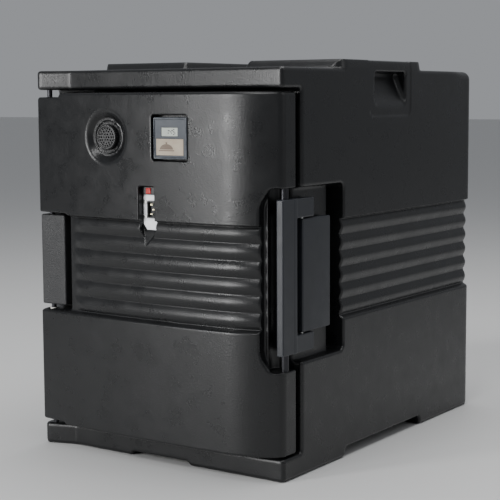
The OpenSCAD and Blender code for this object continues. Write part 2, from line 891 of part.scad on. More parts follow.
module inlet_screws() {
    color("silver") for (z = inlet_screw_z) {
        rod_y(inlet_screw_x, pocket_floor_y - plate_t, z, inlet_screw_r, plate_t + skin);
        rod_y(inlet_screw_x, pocket_floor_y - plate_t - 1.2, z, 2 * inlet_screw_r, 1.2);
    }
}

module pilot_lamp() {
    color([0.75, 0.05, 0.04]) {
        rod_y(lamp_x, pocket_floor_y - plate_t - 2, lamp_z, lamp_r, lamp_len);
        rod_y(lamp_x, pocket_floor_y - plate_t - 2, lamp_z, lamp_r + 1, 2);
    }
}

// ---------- heater and controls ----------

module cover_screw_bores(y0, len, r) {
    for (x = cover_screw_x, z = cover_screw_z) rod_y(x, y0, z, r, len);
}

module heater_plate() {
    color([0.75, 0.76, 0.77]) difference() {
        block([-heater_half_w, plug_y1, heater_z0], [heater_half_w, plug_y1 + heater_plate_t, heater_z1]);
        cover_screw_bores(plug_y1 - cut, heater_plate_t + 2 * cut, cover_screw_r);
    }
}

module heater_element() {
    y = plug_y1 + heater_plate_t + element_r;
    first_x = -element_pitch * (element_legs - 1) / 2;
    color([0.35, 0.33, 0.32]) for (i = [0 : element_legs - 1]) {
        x = first_x + i * element_pitch;
        rod_z(x, y, element_z0, element_r, element_z1 - element_z0);
        if (i < element_legs - 1)
            translate([x + element_pitch / 2, y, i % 2 == 0 ? element_z1 : element_z0])
                rotate([90, 0, 0]) rotate([0, 0, i % 2 == 0 ? 0 : 180])
                    rotate_extrude(angle = 180) translate([element_pitch / 2, 0]) circle(element_r);
    }
}

module heater_cover() {
    y0 = plug_y1 + heater_plate_t;
    w = heater_wall;
    color([0.55, 0.56, 0.57]) difference() {
        block([-heater_half_w, y0, heater_z0], [heater_half_w, y0 + heater_d, heater_z1]);
        block([-heater_half_w + 17, y0 - cut, heater_z0 + 17],
              [heater_half_w - 17, y0 + heater_d - w, heater_z1 - 17]);
        for (i = [0 : slot_count - 1])
            translate([(i - (slot_count - 1) / 2) * slot_pitch, 0, (heater_z0 + heater_z1) / 2])
                block([-slot_w / 2, y0, -slot_half_h], [slot_w / 2, y0 + heater_d + cut, slot_half_h]);
        cover_screw_bores(y0 - cut, heater_d + 2 * cut, cover_screw_r);
    }
}

module heater_cover_screws() {
    y1 = plug_y1 + heater_plate_t + heater_d;
    color("silver") {
        cover_screw_bores(plug_y1 - liner_t, y1 - plug_y1 + liner_t, cover_screw_r);
        cover_screw_bores(y1, cover_head_t, cover_head_r);
    }
}

module thermostat() {
    color([0.2, 0.2, 0.22])
        rod_y(thermostat_x, plug_y1 - liner_t - box_d, thermostat_z, thermostat_r, box_d);
}

module terminal_box() {
    color([0.15, 0.15, 0.16]) block([box_x0, plug_y1 - liner_t - box_d, box_z0],
                                    [box_x0 + box_w, plug_y1 - liner_t, box_z0 + box_h]);
}

module internal_wiring() {
    y = inlet_body_y1;
    mid_x = (inlet_body_x0 + inlet_body_x1) / 2;
    wire_y = plug_y1 - liner_t - box_d - 3 * wire_r;
    // Three leads run back from the inlet, across to the terminal box and down to the thermostat
    color([0.5, 0.1, 0.08]) for (i = [-1 : 1]) {
        z = (inlet_body_z0 + inlet_body_z1) / 2 + i * inlet_pin_pitch;
        rod_y(mid_x, y, z, wire_r, wire_y - y);
        translate([mid_x, wire_y, z]) sphere(wire_r);
        translate([mid_x, wire_y, z]) rotate([0, 90, 0])
            cylinder(h = box_x0 + 8 - mid_x, r = wire_r);
        translate([box_x0 + 8, wire_y, z]) sphere(wire_r);
        rod_y(box_x0 + 8, wire_y, z, wire_r, 3 * wire_r);
    }
}

// ---------- latch ----------

module latch_rod() {
    color("silver") rod_z(rod_x, rod_y, rod_z0, rod_r, rod_z1 - rod_z0);
}

module latch_frame() {
    color([0.13, 0.14, 0.16]) difference() {
        union() {
            translate([0, 0, frame_z0]) linear_extrude(frame_z1 - frame_z0)
                plan(frame_x0, frame_y0, frame_x1, frame_y1, 2, 2);
            block([arm_x0, frame_y1 - 8, frame_z0], [frame_x1, arm_y1, frame_z0 + arm_low_h]);
            block([arm_x0, frame_y1 - 8, frame_z1 - arm_high_h], [frame_x1, arm_y1, frame_z1]);
        }
        // Bevel beside the front face
        translate([0, 0, frame_z0 - cut]) linear_extrude(frame_z1 - frame_z0 + 2 * cut)
            polygon([[frame_x0 - cut, frame_y0 - cut], [frame_x0 + frame_bevel_x, frame_y0 - cut],
                     [frame_x0 + frame_bevel_x, frame_y0], [frame_x0, frame_y0 + frame_bevel_y],
                     [frame_x0 - cut, frame_y0 + frame_bevel_y]]);
        rod_z(rod_x, rod_y, frame_z0 - cut, rod_r + running_gap, frame_z1 - frame_z0 + 2 * cut);
        rod_z(lever_pin_x, lever_pin_y, frame_z0 + arm_low_h - lever_pin_grip, lever_pin_r,
              lever_pin_grip + cut);
        rod_z(lever_pin_x, lever_pin_y, frame_z1 - arm_high_h - cut, lever_pin_r,
              lever_pin_grip + cut);
    }
}

module latch_lever_pins() {
    color("silver") {
        rod_z(lever_pin_x, lever_pin_y, frame_z0 + arm_low_h - lever_pin_grip, lever_pin_r,
              2 * lever_pin_grip);
        rod_z(lever_pin_x, lever_pin_y, frame_z1 - arm_high_h - lever_pin_grip, lever_pin_r,
              2 * lever_pin_grip);
    }
}

module latch_lever() {
    color([0.15, 0.16, 0.18]) difference() {
        translate([0, 0, lever_z0]) linear_extrude(lever_z1 - lever_z0)
            plan(lever_x0, lever_y0, lever_x1, lever_y0 + lever_d, 5, 2);
        for (z = [lever_z0 - cut, lever_z1 - lever_pin_grip - cut])
            rod_z(lever_pin_x, lever_pin_y, z, lever_pin_r + running_gap, lever_pin_grip + 2 * cut);
    }
}

cabinet_shell();
cabinet_foam();
cabinet_liner();
foam_plugs();
hinge_block();
hinge_block_studs();
hinge_pin();
latch_strike();
door_shell();
door_foam();
door_liner();
door_gasket();
hinge_bushes();
vent_sleeve();
vent_seal();
vent_cap();
thermometer_housing();
thermometer_face();
thermometer_lcd();
thermometer_label();
thermometer_battery();
thermometer_probe();
inlet_plate();
power_inlet();
inlet_pins();
inlet_screws();
pilot_lamp();
heater_plate();
heater_element();
heater_cover();
heater_cover_screws();
thermostat();
terminal_box();
internal_wiring();
latch_rod();
latch_frame();
latch_lever_pins();
latch_lever();
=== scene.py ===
"""Insulated food carrier: the looks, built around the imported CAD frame.

The moulded pieces are the zero surfaces of signed distance forms, in millimetres, so every edge
and inside corner has the soft radius of a rotational moulding. The other hardware stays as the
frame's own nodes, with better materials and, on the larger pieces, eased edges.
"""
import json
import math

import bmesh
import bpy
import numpy as np
from mathutils import Matrix, Vector


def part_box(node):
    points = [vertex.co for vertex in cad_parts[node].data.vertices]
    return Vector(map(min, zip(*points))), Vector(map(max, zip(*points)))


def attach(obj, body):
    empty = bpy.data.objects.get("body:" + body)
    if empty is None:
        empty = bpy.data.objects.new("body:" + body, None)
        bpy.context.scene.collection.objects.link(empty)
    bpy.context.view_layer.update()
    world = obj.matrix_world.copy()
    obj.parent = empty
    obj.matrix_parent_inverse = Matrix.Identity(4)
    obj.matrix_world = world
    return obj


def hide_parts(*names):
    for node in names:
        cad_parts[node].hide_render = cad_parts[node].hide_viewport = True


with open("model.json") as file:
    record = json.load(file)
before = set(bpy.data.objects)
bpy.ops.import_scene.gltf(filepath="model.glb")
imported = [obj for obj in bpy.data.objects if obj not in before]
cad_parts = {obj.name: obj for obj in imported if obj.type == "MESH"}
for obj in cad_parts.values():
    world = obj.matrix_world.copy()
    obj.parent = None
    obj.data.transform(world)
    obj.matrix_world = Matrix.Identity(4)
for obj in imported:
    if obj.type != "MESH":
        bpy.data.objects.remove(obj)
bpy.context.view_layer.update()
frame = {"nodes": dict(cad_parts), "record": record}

MM = 0.001

# Camera, in millimetres and degrees
CAMERA_AT = (1270.4, -1964.7, 554.2)
CAMERA_YAW = -33.50
CAMERA_PITCH = -6.248
CAMERA_ROLL = -0.287
CAMERA_LENS = 100.0


def node_mm(name):
    """Lowest and highest corner of a CAD node, in millimetres."""
    low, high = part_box(name)
    return np.array(low) / MM, np.array(high) / MM


# ---------- camera, stage and light ----------

def make_camera():
    yaw, pitch, roll = (math.radians(a) for a in (CAMERA_YAW, CAMERA_PITCH, CAMERA_ROLL))
    forward = Vector((math.sin(yaw) * math.cos(pitch), math.cos(yaw) * math.cos(pitch),
                      math.sin(pitch)))
    right = Vector((math.cos(yaw), -math.sin(yaw), 0.0))
    up = right.cross(forward)
    tilt_right = math.cos(roll) * right + math.sin(roll) * up
    tilt_up = math.cos(roll) * up - math.sin(roll) * right
    data = bpy.data.cameras.new("camera")
    data.lens = CAMERA_LENS
    data.sensor_width = 36.0
    data.clip_end = 80.0
    camera = bpy.data.objects.new("camera", data)
    turn = Matrix((tilt_right, tilt_up, -forward)).transposed()
    camera.matrix_world = Matrix.Translation(Vector(CAMERA_AT) * MM) @ turn.to_4x4()
    bpy.context.scene.collection.objects.link(camera)
    bpy.context.scene.camera = camera


def area_light(name, at, target, size, power):
    data = bpy.data.lights.new(name, "AREA")
    data.shape = "RECTANGLE"
    data.size, data.size_y = size
    data.energy = power
    light = bpy.data.objects.new(name, data)
    light.location = at
    aim = Vector(target) - Vector(at)
    light.rotation_euler = aim.to_track_quat("-Z", "Y").to_euler()
    bpy.context.scene.collection.objects.link(light)


def make_stage():
    mesh = bpy.data.meshes.new("floor")
    reach = 30.0
    mesh.from_pydata([(-reach, -reach, 0), (reach, -reach, 0), (reach, reach, 0),
                      (-reach, reach, 0)], [], [(0, 1, 2, 3)])
    floor = bpy.data.objects.new("floor", mesh)
    bpy.context.scene.collection.objects.link(floor)
    material, shader, _ = new_material("floor_paper")
    shader.inputs["Base Color"].default_value = (0.62, 0.62, 0.615, 1)
    shader.inputs["Roughness"].default_value = 0.6
    mesh.materials.append(material)
    world = bpy.data.worlds.new("studio")
    world.use_nodes = True
    background = world.node_tree.nodes["Background"]
    background.inputs["Color"].default_value = (0.92, 0.95, 1.0, 1)
    background.inputs["Strength"].default_value = 0.33
    bpy.context.scene.world = world
    middle = (0.0, 0.0, 0.3)
    # A tall soft window to the left, where the latch end of the door mirrors it
    area_light("window", (-1.48, -3.3, 1.0), (0.12, -0.3, 0.45), (0.55, 2.0), 76)
    area_light("front", (-0.62, -3.3, 0.8), (-0.1, -0.3, 0.4), (0.35, 0.9), 16)
    area_light("key", (0.35, -1.9, 2.5), middle, (1.1, 0.6), 26)
    area_light("top", (0.2, 0.5, 2.8), middle, (2.2, 2.2), 54)
    area_light("right_rim", (2.6, 0.6, 1.5), middle, (0.7, 1.6), 6)


# ---------- materials ----------

# Pointiness at which an edge starts to look worn, and at which it is fully worn
WORN_FROM, WORN_TO = 0.53, 0.6


def new_material(name):
    material = bpy.data.materials.new(name)
    material.use_nodes = True
    tree = material.node_tree
    return material, tree.nodes["Principled BSDF"], tree


def node(tree, kind, inputs=None, **settings):
    made = tree.nodes.new(kind)
    for key, value in settings.items():
        setattr(made, key, value)
    for key, value in (inputs or {}).items():
        if isinstance(value, bpy.types.NodeSocket):
            tree.links.new(value, made.inputs[key])
        else:
            made.inputs[key].default_value = value
    return made


def noise(tree, coords, scale, detail, roughness=0.5):
    made = node(tree, "ShaderNodeTexNoise",
                {"Vector": coords, "Scale": scale, "Detail": detail, "Roughness": roughness})
    return made.outputs["Fac"]


def spread(tree, value, low, high, to_low, to_high):
    made = node(tree, "ShaderNodeMapRange", {"Value": value, "From Min": low, "From Max": high,
                                             "To Min": to_low, "To Max": to_high})
    return made.outputs["Result"]


def blend_colour(tree, fac, first, second):
    made = node(tree, "ShaderNodeMix", data_type="RGBA")
    for socket, value in ((made.inputs[0], fac), (made.inputs[6], first), (made.inputs[7], second)):
        if isinstance(value, bpy.types.NodeSocket):
            tree.links.new(value, socket)
        else:
            socket.default_value = value if isinstance(value, float) else (*value, 1)
    return made.outputs[2]


def edge_wear(tree, coords):
    """0 on flats, towards 1 on worn convex edges, broken up by noise."""
    pointy = node(tree, "ShaderNodeNewGeometry").outputs["Pointiness"]
    edge = spread(tree, pointy, WORN_FROM, WORN_TO, 0.0, 1.0)
    patches = spread(tree, noise(tree, coords, 60.0, 4.0), 0.35, 0.7, 0.0, 1.0)
    made = node(tree, "ShaderNodeMath", {0: edge, 1: patches}, operation="MULTIPLY")
    return made.outputs[0]


def plastic(name, colour, light_colour, roughness, grain=1400.0, grain_depth=0.00012,
            grain_strength=0.6, specular=0.5):
    """Moulded plastic: pebbled grain, slight colour drift, rubbed edges, fine scuffs."""
    material, shader, tree = new_material(name)
    coords = node(tree, "ShaderNodeTexCoord").outputs["Object"]
    drift = spread(tree, noise(tree, coords, 9.0, 3.0), 0.3, 0.7, 0.0, 1.0)
    base = blend_colour(tree, drift, colour, tuple(c * 1.25 for c in colour))
    worn = edge_wear(tree, coords)
    base = blend_colour(tree, worn, base, light_colour)
    tree.links.new(base, shader.inputs["Base Color"])
    scuffs = noise(tree, coords, 35.0, 6.0, 0.6)
    rough = spread(tree, scuffs, 0.3, 0.7, roughness - 0.06, roughness + 0.07)
    tree.links.new(rough, shader.inputs["Roughness"])
    shader.inputs["Specular IOR Level"].default_value = specular
    pebbles = noise(tree, coords, grain, 1.5, 0.6)
    bump = node(tree, "ShaderNodeBump", {"Height": pebbles, "Strength": grain_strength,
                                         "Distance": grain_depth})
    tree.links.new(bump.outputs["Normal"], shader.inputs["Normal"])
    return material


def metal(name, colour, roughness, grain_scale=(1.0, 1.0, 30.0), metallic=1.0):
    """Brushed metal with drawn-out scratches."""
    material, shader, tree = new_material(name)
    coords = node(tree, "ShaderNodeTexCoord").outputs["Object"]
    drawn = node(tree, "ShaderNodeMapping", {"Vector": coords, "Scale": grain_scale})
    streaks = noise(tree, drawn.outputs["Vector"], 90.0, 4.0)
    base = blend_colour(tree, streaks, tuple(c * 0.85 for c in colour), colour)
    tree.links.new(base, shader.inputs["Base Color"])
    rough = spread(tree, streaks, 0.3, 0.7, roughness - 0.06, roughness + 0.08)
    tree.links.new(rough, shader.inputs["Roughness"])
    shader.inputs["Metallic"].default_value = metallic
    bump = node(tree, "ShaderNodeBump", {"Height": streaks, "Strength": 0.15, "Distance": 0.0002})
    tree.links.new(bump.outputs["Normal"], shader.inputs["Normal"])
    return material


# ---------- signed distance forms, in millimetres ----------

def join(a, b, r):
    """Union with an inside fillet of radius r."""
    corner = np.hypot(np.maximum(r - a, 0.0), np.maximum(r - b, 0.0))
    return np.maximum(r, np.minimum(a, b)) - corner


def meet(a, b, r):
    """Intersection with an outside radius r."""
    corner = np.hypot(np.maximum(r + a, 0.0), np.maximum(r + b, 0.0))
    return np.minimum(-r, np.maximum(a, b)) + corner


def carve(a, b, r):
    """Form a with form b taken away, and the rim rounded to radius r."""
    return meet(a, -b, r)


def slab(v, low, high):
    return np.abs(v - (low + high) / 2) - (high - low) / 2


def line_side(u, v, start, end):
    """Distance from the line through two points in a plane, negative to its left."""
    du, dv = end[0] - start[0], end[1] - start[1]
    length = math.hypot(du, dv)
    return ((u - start[0]) * dv - (v - start[1]) * du) / length


def rounded_plan(x, y, low, high, front_r, back_r):
    mid_x, mid_y = (low[0] + high[0]) / 2, (low[1] + high[1]) / 2
    r = np.where(y < mid_y, front_r, back_r)
    qx = np.abs(x - mid_x) - (high[0] - low[0]) / 2 + r
    qy = np.abs(y - mid_y) - (high[1] - low[1]) / 2 + r
    return np.minimum(np.maximum(qx, qy), 0) + np.hypot(np.maximum(qx, 0), np.maximum(qy, 0)) - r


def box_form(x, y, z, low, high, r):
    """Box between two corners with every edge rounded to r."""
    return meet(meet(slab(x, low[0], high[0]), slab(y, low[1], high[1]), r),
                slab(z, low[2], high[2]), r)


def ramp(v, start, end):
    """Smooth step from 0 at start to 1 at end."""
    t = np.clip((v - start) / (end - start), 0.0, 1.0)
    return t * t * (3 - 2 * t)


# ---------- surface nets ----------

MIN_GAP = 0.4        # least gap where two runs of grid positions meet, in millimetres
PULL_PASSES = 5      # times that the vertices are pulled onto the surface
PULL_REACH = 0.05    # half step of the slope that pulls them, in millimetres
MIN_STEEPNESS = 0.05
CELL_SLACK = 0.3     # how far a vertex may leave its cell, as a share of the cell
NORMAL_REACH = 0.25  # half step of the slope that gives the normals, in millimetres


def grid_lines(low, high, coarse, marks, widen=1.0):
    """Positions from low to high: fine round each (place, reach, step), coarse elsewhere.

    The fine steps are multiplied by widen.
    """
    out = [low]
    while out[-1] < high:
        step = coarse
        for place, reach, fine in marks:
            away = max(abs(out[-1] - place) - reach, 0.0)
            step = min(step, fine * widen + away * 0.35)
        out.append(out[-1] + step)
    return np.array(out)


def even_lines(low, high, count):
    return np.linspace(low, high, count + 1)


def merge_lines(*runs):
    """Runs of grid positions end to end; a run's last position is dropped where the next starts."""
    out = [run[run < following[0] - MIN_GAP] for run, following in zip(runs, runs[1:])]
    return np.concatenate(out + [runs[-1]])


def gradient(form, points, reach):
    x, y, z = points.T
    slope = np.empty_like(points)
    slope[:, 0] = form(x + reach, y, z) - form(x - reach, y, z)
    slope[:, 1] = form(x, y + reach, z) - form(x, y - reach, z)
    slope[:, 2] = form(x, y, z + reach) - form(x, y, z - reach)
    return slope / (2 * reach)


def surface_net(form, lines):
    """Quads on the form's zero surface over a grid, with one vertex in each crossed cell."""
    xs, ys, zs = lines
    d = form(xs[:, None, None], ys[None, :, None], zs[None, None, :])
    inside = d < 0
    count = np.zeros(tuple(n - 1 for n in d.shape), np.uint8)
    corners = [(i, j, k) for i in (0, 1) for j in (0, 1) for k in (0, 1)]
    for i, j, k in corners:
        count += inside[i:d.shape[0] - 1 + i, j:d.shape[1] - 1 + j, k:d.shape[2] - 1 + k]
    cells = np.argwhere((count > 0) & (count < 8))
    index = np.full(count.shape, -1, np.int64)
    index[tuple(cells.T)] = np.arange(len(cells))
    places = np.zeros((len(cells), 3))
    hits = np.zeros(len(cells))
    for axis in range(3):
        for corner in corners:
            if corner[axis]:
                continue
            start = cells + np.array(corner)
            end = start + np.eye(3, dtype=int)[axis]
            a, b = d[tuple(start.T)], d[tuple(end.T)]
            crossed = (a < 0) != (b < 0)
            t = np.where(crossed, a / np.where(crossed, a - b, 1.0), 0.0)
            at = np.stack([line[start[:, n]] for n, line in enumerate(lines)], 1)
            at[:, axis] += t * (lines[axis][end[:, axis]] - at[:, axis])
            places += at * crossed[:, None]
            hits += crossed
    places /= hits[:, None]
    low = np.stack([line[cells[:, n]] for n, line in enumerate(lines)], 1)
    high = np.stack([line[cells[:, n] + 1] for n, line in enumerate(lines)], 1)
    slack = CELL_SLACK * (high - low)
    for _ in range(PULL_PASSES):
        slope = gradient(form, places, PULL_REACH)
        steep = np.maximum((slope ** 2).sum(1), MIN_STEEPNESS)
        places -= slope * (form(*places.T) / steep)[:, None]
        places = np.clip(places, low - slack, high + slack)
    quads = []
    for axis in range(3):
        a = inside[:-1] if axis == 0 else inside[:, :-1] if axis == 1 else inside[:, :, :-1]
        b = inside[1:] if axis == 0 else inside[:, 1:] if axis == 1 else inside[:, :, 1:]
        edges = np.argwhere(a != b)
        u, v = (axis + 1) % 3, (axis + 2) % 3
        shape = np.array(count.shape)
        good = (edges[:, u] > 0) & (edges[:, v] > 0)
        good &= (edges[:, u] < shape[u]) & (edges[:, v] < shape[v])
        edges = edges[good]
        step_u, step_v = np.eye(3, dtype=int)[u], np.eye(3, dtype=int)[v]
        ring = [edges - step_u - step_v, edges - step_v, edges, edges - step_u]
        quad = np.stack([index[tuple(c.T)] for c in ring], 1)
        outward = inside[tuple(edges.T)]
        quad[~outward] = quad[~outward][:, ::-1]
        quads.append(quad)
    normals = gradient(form, places, NORMAL_REACH)
    normals /= np.maximum(np.linalg.norm(normals, axis=1), 1e-9)[:, None]
    return places, np.concatenate(quads), normals


def mesh_object(name, places, quads, normals, material):
    mesh = bpy.data.meshes.new(name)
    mesh.vertices.add(len(places))
    mesh.vertices.foreach_set("co", (places * MM).ravel())
    mesh.loops.add(quads.size)
    mesh.loops.foreach_set("vertex_index", quads.ravel())
    mesh.polygons.add(len(quads))
    mesh.polygons.foreach_set("loop_start", np.arange(0, quads.size, 4))
    mesh.update(calc_edges=True)
    mesh.validate()
    mesh.polygons.foreach_set("use_smooth", np.ones(len(mesh.polygons), bool))
    mesh.normals_split_custom_set_from_vertices(normals[:len(mesh.vertices)])
    mesh.materials.append(material)
    piece = bpy.data.objects.new(name, mesh)
    bpy.context.scene.collection.objects.link(piece)
    return piece


def moulded(name, form, lines, material, body, slot, *replaced):
    """A moulded piece from its form, riding on a body and standing for CAD nodes."""
    piece = mesh_object(name, *surface_net(form, lines), material)
    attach(piece, body)
    if replaced:
        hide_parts(*replaced)
    print(name, len(piece.data.polygons), "quads")
    return piece


# ---------- driving dimensions, in millimetres ----------

shell_low, shell_high = node_mm("cabinet_shell")
door_low, door_high = node_mm("door_shell")
liner_low, liner_high = node_mm("cabinet_liner")
HALF_W = shell_high[0]
FLANGE_Y = shell_low[1]
BACK_Y = shell_high[1]
DECK_Z = 598.0
BASE_Z = 34.0
FLANGE_Z = 568.0
FRONT_Y = liner_low[1]
CREST_Y = door_low[1]
DOOR_BACK_Y = door_high[1]

BAND_Z = (222.0, 372.0)
RIB_PITCH = 25.0
BAND_DEPTH = 8.0
RIB_RISE = 4.5

BOW_R = 2480.0
BOW_X = 125.0
TURN_R = 150.0
TURN_X = 142.0

hinge_low, hinge_high = node_mm("hinge_pin")
HINGE = (hinge_low + hinge_high) / 2
rod_low, rod_high = node_mm("latch_rod")
ROD = (rod_low + rod_high) / 2


# Height past the band on each side that its even grid lines cover
BAND_MARGIN = 8.6


def band_inside(z):
    """1 within the ribbed band, 0 above and below it."""
    return ramp(z, BAND_Z[0] - 6, BAND_Z[0] + 1) * ramp(z, BAND_Z[1] + 1.5, BAND_Z[1] - 1.5)


def band_recess(z):
    """How deep the ribbed band lies below the wall at each height."""
    crest = np.abs(np.cos(math.pi * (z - BAND_Z[0] - RIB_PITCH / 2) / RIB_PITCH))
    return (BAND_DEPTH - RIB_RISE * np.sqrt(crest ** 2 + 0.003)) * band_inside(z)


# ---------- cabinet ----------

# How much wider than marked the fine steps are, to keep each piece under 100,000 quads
CABINET_WIDEN = 1.5
DOOR_WIDEN = 1.12

# The flanges lean back from the latch end to a crease, and come out again by LEAN_END
CREASE = (-172.0, FLANGE_Y + 15)
LEAN_END = (-222.0, FLANGE_Y)
PLATEAU_Y = (-152.0, 140.0)
PLATEAU_SLOPE = 18.0
PLATEAU_RISE = 14.0
CHANNEL_HALF_W = 58.0
POCKET_Z = (527.0, 594.0)
RECESS_Z = (170.0, 426.0)
SIDE_NOTCH_Z = 15.0
FRONT_NOTCH_Z = 7.0
CAVITY_HALF_W = 167.0
CAVITY_BACK_Y = 273.0
CAVITY_Z = (59.0, 539.0)


def cabinet_form(x, y, z):
    side = np.abs(x)
    front_r = 7.0 + 7.0 * ramp(z, 60, 40) * ramp(x, 0, -100)
    plan = rounded_plan(x, y, (-HALF_W, FLANGE_Y), (HALF_W, BACK_Y), front_r, 25.0)
    hollow = meet(line_side(x, y, (HALF_W - 6, FLANGE_Y), CREASE),
                  line_side(x, y, CREASE, LEAN_END), 0.5)
    plan = carve(plan, hollow, 1.5)
    # Deck with the raised plateau over the handles and the channel between its halves
    front, back = PLATEAU_Y
    corner = rounded_plan(x, y, (-HALF_W - 1, front), (HALF_W + 1, back), 31.0, 31.0)
    rise = ramp(y, front, front + PLATEAU_SLOPE) * ramp(y, back, back - PLATEAU_SLOPE)
    rise = rise * ramp(side, CHANNEL_HALF_W - 5, CHANNEL_HALF_W + 5) * ramp(corner, 0.5, -3)
    deck = z - DECK_Z - PLATEAU_RISE * rise
    body = meet(plan, deck, 5.0 + 9.0 * ramp(y, 240, 320))
    body = meet(body, -z, 6.0)
    # Door bay between the flanges
    bay = meet(y - FRONT_Y, slab(z, BASE_Z, FLANGE_Z), 5.0)
    body = carve(body, bay, 5.0)
    # Ribbed band round the sides and back
    body = body + band_recess(z) * ramp(y, -141, -135)
    # Pad that outlines each handle pocket
    pad = meet(slab(y, -53, 86), slab(z, 525, 640), 10.0)
    body = body + 0.9 * ramp(pad, 1.2, -1.2) * ramp(side, 218, 224)
    # Handle pockets
    pocket = meet(line_side(side, z, (HALF_W - 50, POCKET_Z[1]), (HALF_W - 8, 548)),
                  line_side(side, z, (HALF_W - 8, 548), (HALF_W, POCKET_Z[0])), 10.0)
    pocket = meet(pocket, meet(slab(y, -34, 70), z - POCKET_Z[1], 6.0), 9.0)
    body = carve(body, pocket, 4.0)
    # Latch recess in the latch side: a land for the latch, a deeper finger well behind it
    recess = meet(slab(y, FRONT_Y - 30, -133), slab(z, *RECESS_Z), 10.0)
    floor = np.where(y < -159, HALF_W - 17, HALF_W - 35)
    recess = meet(recess, floor - x, 5.0)
    body = carve(body, recess, 3.5)
    # Feet notches
    notch = meet(meet(slab(y, -128, 128), z - SIDE_NOTCH_Z, 8.0), HALF_W - 40 - side, 5.0)
    body = carve(body, notch, 4.0)
    notch = meet(meet(slab(x, -56, 56), z - FRONT_NOTCH_Z, 5.0), y - FLANGE_Y - 40, 5.0)
    body = carve(body, notch, 3.0)
    # Cavity
    cavity = box_form(x, y, z, (-CAVITY_HALF_W, FRONT_Y - 40, CAVITY_Z[0]),
                      (CAVITY_HALF_W, CAVITY_BACK_Y, CAVITY_Z[1]), 14.0)
    return carve(body, cavity, 3.0)


def cabinet_lines():
    xs = grid_lines(-HALF_W - 4, HALF_W + 4, 16.0,
                    [(-HALF_W, 12, 2.0), (-156, 12, 2.4), (-CHANNEL_HALF_W, 7, 2.4),
                     (CHANNEL_HALF_W, 7, 2.4), (-208, 12, 3.0), (-CAVITY_HALF_W, 4, 2.4),
                     (CAVITY_HALF_W, 4, 2.4), (-190, 3, 3), (190, 3, 3), (195, 4, 2.0),
                     (213, 5, 2.0), (HALF_W, 12, 2.0)], CABINET_WIDEN)
    ys = grid_lines(FLANGE_Y - 4, BACK_Y + 4, 16.0,
                    [(FLANGE_Y, 22, 2.2), (FRONT_Y, 8, 2.0), (-146, 18, 2.2), (-159, 4, 2.0),
                     (-133, 4, 2.0), (-128, 4, 2.4), (-34, 6, 2.4), (65, 6, 2.4), (-53, 4, 2),
                     (86, 4, 2), (131, 12, 2.4), (BACK_Y - 10, 16, 2.8)], CABINET_WIDEN)
    below = grid_lines(-4, BAND_Z[0] - 9, 16.0,
                       [(0, 10, 2.0), (SIDE_NOTCH_Z, 5, 2.4), (BASE_Z, 8, 2.0),
                        (CAVITY_Z[0], 4, 2.4), (RECESS_Z[0], 6, 2.2), (BAND_Z[0] - 7, 4, 2.0)],
                       CABINET_WIDEN)
    band = even_lines(BAND_Z[0] - BAND_MARGIN, BAND_Z[1] + BAND_MARGIN, 54)
    above = grid_lines(BAND_Z[1] + 9, 618, 16.0,
                       [(BAND_Z[1] + 6, 4, 2.0), (RECESS_Z[1], 6, 2.2), (POCKET_Z[0], 6, 2.2),
                        (546, 8, 3.0), (CAVITY_Z[1], 4, 2.4), (FLANGE_Z, 8, 2.0),
                        (POCKET_Z[1], 6, 2.2), (602, 14, 2.0)],
                       CABINET_WIDEN)
    return xs, ys, merge_lines(below, band, above)


# ---------- door ----------

turn_angle = math.asin((TURN_X - BOW_X) / BOW_R)
BOW_AT = (BOW_X, CREST_Y + BOW_R)
TURN_AT = (TURN_X - TURN_R * math.sin(turn_angle),
           BOW_AT[1] - (BOW_R - TURN_R) * math.cos(turn_angle))


def bow_y(x):
    return BOW_AT[1] - math.sqrt(BOW_R ** 2 - (x - BOW_X) ** 2)


def door_front(x, y):
    """Distance outside the bowed front of the door."""
    bow = np.hypot(x - BOW_AT[0], y - BOW_AT[1]) - BOW_R
    turn = np.hypot(x - TURN_AT[0], y - TURN_AT[1]) - TURN_R
    return np.where(line_side(x, y, BOW_AT, (TURN_X, CREST_Y)) < 0, turn, bow)


VENT_AT = (-81.0, 496.0)
METER_AT = (48.0, 496.0)
INLET_AT = (2.0, 390.5)
LATCH_Z = (161.0, 426.0)

BAND_FADE_Y = (-276.0, -290.0)
DISH_R = 28.0
DISH_DEPTH = 12.0
DISH_SLOPE = 1.05
METER_DEPTH = 18.5
INLET_HALF_W = 15.0
INLET_HALF_H = 33.5
INLET_DEPTH = 17.0
RAMP_Z = (337.0, 358.0)
PLATE_TOP_Z = 411.0
LATCH_FLOOR_Y = -306.0
LATCH_NOTCH_X = (197.0, 211.0)
LATCH_CHAMFER = 24.0


